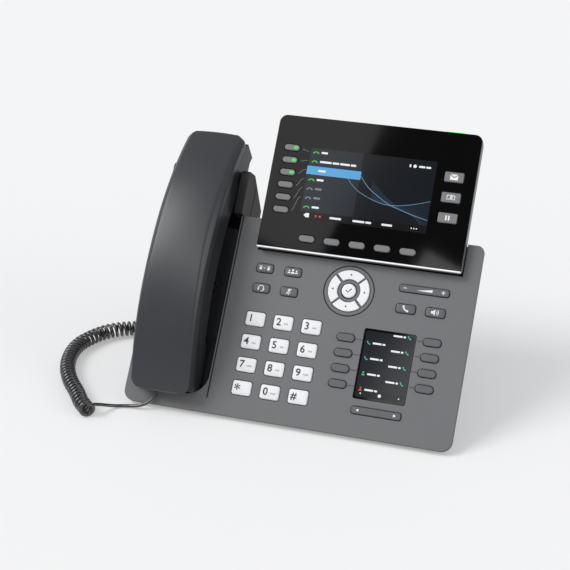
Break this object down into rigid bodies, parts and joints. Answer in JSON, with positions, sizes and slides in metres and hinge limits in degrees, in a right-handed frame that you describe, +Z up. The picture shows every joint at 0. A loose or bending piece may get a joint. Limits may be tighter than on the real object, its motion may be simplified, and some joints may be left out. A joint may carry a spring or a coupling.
{
  "type": "desk ip phone",
  "caption": "Sloped desk telephone with a corded handset, a tilted colour display, a side display, dial and function keys and a folding stand.",
  "frame": {"origin": "on the table under the middle of the phone's footprint, its cord left out", "axes": "+X to the user's right, +Y away from the user, +Z up"},
  "size_m": [0.3152, 0.1964, 0.1877],
  "materials": {
    "grey_shell": "fine moulded texture",
    "black_shell": "fine moulded texture",
    "cradle_shell": "fine moulded texture",
    "frame_trim": "satin",
    "cover_glass": "gloss",
    "lcd_panel": "lit display",
    "indicator": "lit light guide",
    "handset_shell": "satin",
    "capsule_metal": "satin",
    "cord_jacket": "gloss",
    "clear_plug": "clear moulded",
    "circuit_board": "solder mask",
    "socket_plastic": "moulded",
    "foot_rubber": "matt",
    "white_key": "satin",
    "grey_key": "satin"
  },
  "bodies": {
    "root": {"face_plate": "grey_shell", "lower_housing": "black_shell", "display_back_cover": "black_shell", "handset_cradle": "cradle_shell", "display_frame": "frame_trim", "display_glass": "cover_glass", "side_glass": "cover_glass", "main_lcd": "lcd_panel", "side_lcd": "lcd_panel", "status_light": "indicator", "loudspeaker": "capsule_metal", "screws": "capsule_metal", "curly_cord": "cord_jacket", "cord_lead_handset": "cord_jacket", "cord_lead_base": "cord_jacket", "base_plug": "clear_plug", "main_board": "circuit_board", "display_board": "circuit_board", "rear_jacks": "socket_plastic", "cord_jacks": "socket_plastic", "rubber_feet": "foot_rubber", "key_mat": "foot_rubber"},
    "handset": {"handset_cover": "handset_shell", "handset_body": "handset_shell", "handset_capsules": "capsule_metal", "handset_plug": "clear_plug"},
    "hook": {"hook_switch": "black_shell"},
    "stand": {"desk_stand": "black_shell"},
    "key_1_body": {"key_1": "white_key"},
    "key_2_body": {"key_2": "white_key"},
    "key_3_body": {"key_3": "white_key"},
    "key_4_body": {"key_4": "white_key"},
    "key_5_body": {"key_5": "white_key"},
    "key_6_body": {"key_6": "white_key"},
    "key_7_body": {"key_7": "white_key"},
    "key_8_body": {"key_8": "white_key"},
    "key_9_body": {"key_9": "white_key"},
    "key_star_body": {"key_star": "white_key"},
    "key_0_body": {"key_0": "white_key"},
    "key_hash_body": {"key_hash": "white_key"},
    "transfer_key_body": {"transfer_key": "grey_key"},
    "conference_key_body": {"conference_key": "grey_key"},
    "headset_key_body": {"headset_key": "grey_key"},
    "mute_key_body": {"mute_key": "grey_key"},
    "send_key_body": {"send_key": "grey_key"},
    "speaker_key_body": {"speaker_key": "grey_key"},
    "nav_up_body": {"nav_up": "white_key"},
    "nav_down_body": {"nav_down": "white_key"},
    "nav_left_body": {"nav_left": "white_key"},
    "nav_right_body": {"nav_right": "white_key"},
    "ok_key_body": {"ok_key": "white_key"},
    "message_key_body": {"message_key": "grey_key"},
    "contacts_key_body": {"contacts_key": "grey_key"},
    "hold_key_body": {"hold_key": "grey_key"},
    "volume_rocker_body": {"volume_rocker": "grey_key"},
    "page_rocker_body": {"page_rocker": "grey_key"},
    "side_keys_left_body": {"side_keys_left": "grey_key"},
    "side_keys_right_body": {"side_keys_right": "grey_key"},
    "line_keys_body": {"line_keys": "grey_key"},
    "soft_keys_body": {"soft_keys": "grey_key"}
  },
  "joints": [
    {"name": "handset_lift", "type": "slide", "parent": "root", "child": "handset", "axis": [0, -0.7705, 0.6374], "range_m": [0, 0.07]},
    {"name": "hook_rise", "type": "slide", "parent": "root", "child": "hook", "axis": [0, -0.7705, 0.6374], "range_m": [0, 0.003]},
    {"name": "stand_fold", "type": "hinge", "parent": "root", "child": "stand", "pos_m": [0, 0.03104, 0.06528], "axis": [1, 0, 0], "range_deg": [-73, 0]},
    {"name": "key_1_press", "type": "slide", "parent": "root", "child": "key_1_body", "axis": [0, 0.7705, -0.6374], "range_m": [0, 0.0012], "stiffness_N_per_m": 300},
    {"name": "key_2_press", "type": "slide", "parent": "root", "child": "key_2_body", "axis": [0, 0.7705, -0.6374], "range_m": [0, 0.0012], "stiffness_N_per_m": 300},
    {"name": "key_3_press", "type": "slide", "parent": "root", "child": "key_3_body", "axis": [0, 0.7705, -0.6374], "range_m": [0, 0.0012], "stiffness_N_per_m": 300},
    {"name": "key_4_press", "type": "slide", "parent": "root", "child": "key_4_body", "axis": [0, 0.7705, -0.6374], "range_m": [0, 0.0012], "stiffness_N_per_m": 300},
    {"name": "key_5_press", "type": "slide", "parent": "root", "child": "key_5_body", "axis": [0, 0.7705, -0.6374], "range_m": [0, 0.0012], "stiffness_N_per_m": 300},
    {"name": "key_6_press", "type": "slide", "parent": "root", "child": "key_6_body", "axis": [0, 0.7705, -0.6374], "range_m": [0, 0.0012], "stiffness_N_per_m": 300},
    {"name": "key_7_press", "type": "slide", "parent": "root", "child": "key_7_body", "axis": [0, 0.7705, -0.6374], "range_m": [0, 0.0012], "stiffness_N_per_m": 300},
    {"name": "key_8_press", "type": "slide", "parent": "root", "child": "key_8_body", "axis": [0, 0.7705, -0.6374], "range_m": [0, 0.0012], "stiffness_N_per_m": 300},
    {"name": "key_9_press", "type": "slide", "parent": "root", "child": "key_9_body", "axis": [0, 0.7705, -0.6374], "range_m": [0, 0.0012], "stiffness_N_per_m": 300},
    {"name": "key_star_press", "type": "slide", "parent": "root", "child": "key_star_body", "axis": [0, 0.7705, -0.6374], "range_m": [0, 0.0012], "stiffness_N_per_m": 300},
    {"name": "key_0_press", "type": "slide", "parent": "root", "child": "key_0_body", "axis": [0, 0.7705, -0.6374], "range_m": [0, 0.0012], "stiffness_N_per_m": 300},
    {"name": "key_hash_press", "type": "slide", "parent": "root", "child": "key_hash_body", "axis": [0, 0.7705, -0.6374], "range_m": [0, 0.0012], "stiffness_N_per_m": 300},
    {"name": "transfer_key_press", "type": "slide", "parent": "root", "child": "transfer_key_body", "axis": [0, 0.7705, -0.6374], "range_m": [0, 0.0012], "stiffness_N_per_m": 300},
    {"name": "conference_key_press", "type": "slide", "parent": "root", "child": "conference_key_body", "axis": [0, 0.7705, -0.6374], "range_m": [0, 0.0012], "stiffness_N_per_m": 300},
    {"name": "headset_key_press", "type": "slide", "parent": "root", "child": "headset_key_body", "axis": [0, 0.7705, -0.6374], "range_m": [0, 0.0012], "stiffness_N_per_m": 300},
    {"name": "mute_key_press", "type": "slide", "parent": "root", "child": "mute_key_body", "axis": [0, 0.7705, -0.6374], "range_m": [0, 0.0012], "stiffness_N_per_m": 300},
    {"name": "send_key_press", "type": "slide", "parent": "root", "child": "send_key_body", "axis": [0, 0.7705, -0.6374], "range_m": [0, 0.0012], "stiffness_N_per_m": 300},
    {"name": "speaker_key_press", "type": "slide", "parent": "root", "child": "speaker_key_body", "axis": [0, 0.7705, -0.6374], "range_m": [0, 0.0012], "stiffness_N_per_m": 300},
    {"name": "nav_up_press", "type": "slide", "parent": "root", "child": "nav_up_body", "axis": [0, 0.7705, -0.6374], "range_m": [0, 0.0012], "stiffness_N_per_m": 300},
    {"name": "nav_down_press", "type": "slide", "parent": "root", "child": "nav_down_body", "axis": [0, 0.7705, -0.6374], "range_m": [0, 0.0012], "stiffness_N_per_m": 300},
    {"name": "nav_left_press", "type": "slide", "parent": "root", "child": "nav_left_body", "axis": [0, 0.7705, -0.6374], "range_m": [0, 0.0012], "stiffness_N_per_m": 300},
    {"name": "nav_right_press", "type": "slide", "parent": "root", "child": "nav_right_body", "axis": [0, 0.7705, -0.6374], "range_m": [0, 0.0012], "stiffness_N_per_m": 300},
    {"name": "ok_key_press", "type": "slide", "parent": "root", "child": "ok_key_body", "axis": [0, 0.7705, -0.6374], "range_m": [0, 0.0012], "stiffness_N_per_m": 300},
    {"name": "side_keys_left_press", "type": "slide", "parent": "root", "child": "side_keys_left_body", "axis": [0, 0.7705, -0.6374], "range_m": [0, 0.0012], "stiffness_N_per_m": 300},
    {"name": "side_keys_right_press", "type": "slide", "parent": "root", "child": "side_keys_right_body", "axis": [0, 0.7705, -0.6374], "range_m": [0, 0.0012], "stiffness_N_per_m": 300},
    {"name": "message_key_press", "type": "slide", "parent": "root", "child": "message_key_body", "axis": [0, 0.7944, -0.6074], "range_m": [0, 0.001], "stiffness_N_per_m": 300},
    {"name": "contacts_key_press", "type": "slide", "parent": "root", "child": "contacts_key_body", "axis": [0, 0.7944, -0.6074], "range_m": [0, 0.001], "stiffness_N_per_m": 300},
    {"name": "hold_key_press", "type": "slide", "parent": "root", "child": "hold_key_body", "axis": [0, 0.7944, -0.6074], "range_m": [0, 0.001], "stiffness_N_per_m": 300},
    {"name": "line_keys_press", "type": "slide", "parent": "root", "child": "line_keys_body", "axis": [0, 0.7944, -0.6074], "range_m": [0, 0.001], "stiffness_N_per_m": 300},
    {"name": "soft_keys_press", "type": "slide", "parent": "root", "child": "soft_keys_body", "axis": [0, 0.7944, -0.6074], "range_m": [0, 0.001], "stiffness_N_per_m": 300},
    {"name": "volume_rocker_tilt", "type": "hinge", "parent": "root", "child": "volume_rocker_body", "pos_m": [0.0854, -0.00796, 0.08951], "axis": [0, 0.6374, 0.7705], "range_deg": [-2.5, 2.5], "stiffness_Nm_per_rad": 0.06},
    {"name": "page_rocker_tilt", "type": "hinge", "parent": "root", "child": "page_rocker_body", "pos_m": [0.0663, -0.06699, 0.01816], "axis": [0, 0.6374, 0.7705], "range_deg": [-2.5, 2.5], "stiffness_Nm_per_rad": 0.06}
  ],
  "couplings": [
    {"joint": "hook_rise", "follows": "handset_lift", "ratio": 0.0428}
  ]
}
